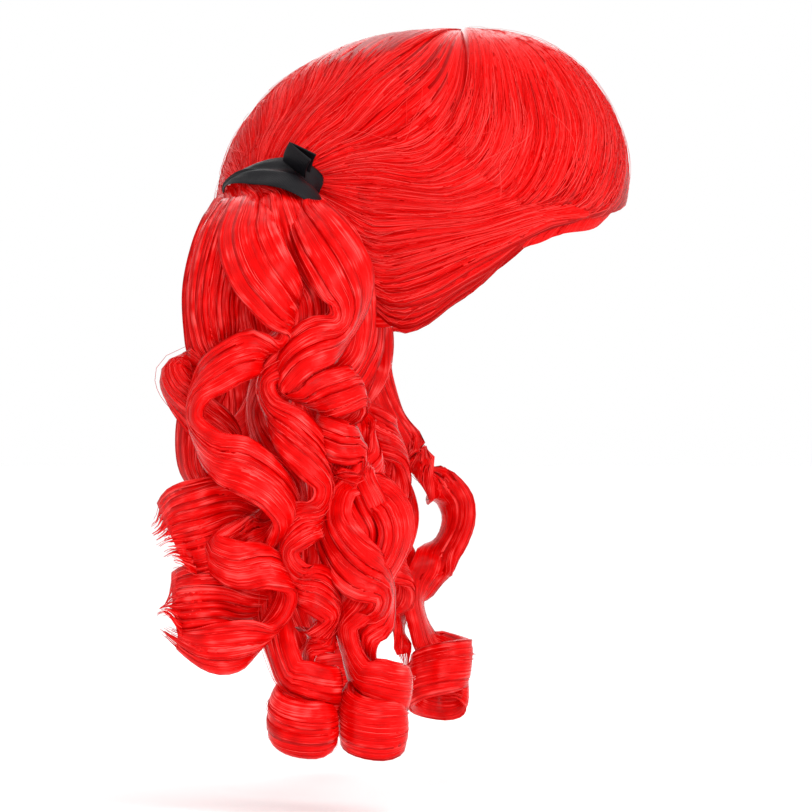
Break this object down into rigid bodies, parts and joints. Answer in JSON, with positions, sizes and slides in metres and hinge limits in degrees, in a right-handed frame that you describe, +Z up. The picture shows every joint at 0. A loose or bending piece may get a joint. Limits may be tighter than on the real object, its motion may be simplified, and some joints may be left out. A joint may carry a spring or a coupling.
{
  "type": "costume wig with two bunches of ringlets",
  "caption": "Bright red wig with a swept fringe, hair drawn over the ears, and a bunch of long hanging ringlets at each side tied with black ribbon.",
  "frame": {"origin": "middle of the head at the line where a head size is measured, where the cap is held by the head", "axes": "+Z up, face towards -Y, wearer's right towards -X"},
  "size_m": [0.341, 0.2403, 0.3742],
  "materials": {
    "red_hair": "glossy synthetic fibre",
    "cap_net": "matte stretch net with sewn rows",
    "black_ribbon": "satin"
  },
  "bodies": {
    "root": {"cap": "cap_net", "fringe": "red_hair", "side_right": "red_hair", "back_right": "red_hair", "bunch_neck_right": "red_hair", "ribbon_band_right": "black_ribbon", "ribbon_fold_right": "black_ribbon", "ringlet_right_1": "red_hair", "ringlet_right_2": "red_hair", "ringlet_right_3": "red_hair", "ringlet_right_4": "red_hair", "ringlet_right_5": "red_hair", "ringlet_right_6": "red_hair", "ringlet_right_7": "red_hair", "side_left": "red_hair", "back_left": "red_hair", "bunch_neck_left": "red_hair", "ribbon_band_left": "black_ribbon", "ribbon_fold_left": "black_ribbon", "ringlet_left_1": "red_hair", "ringlet_left_2": "red_hair", "ringlet_left_3": "red_hair", "ringlet_left_4": "red_hair", "ringlet_left_5": "red_hair", "ringlet_left_6": "red_hair", "ringlet_left_7": "red_hair"}
  },
  "joints": []
}
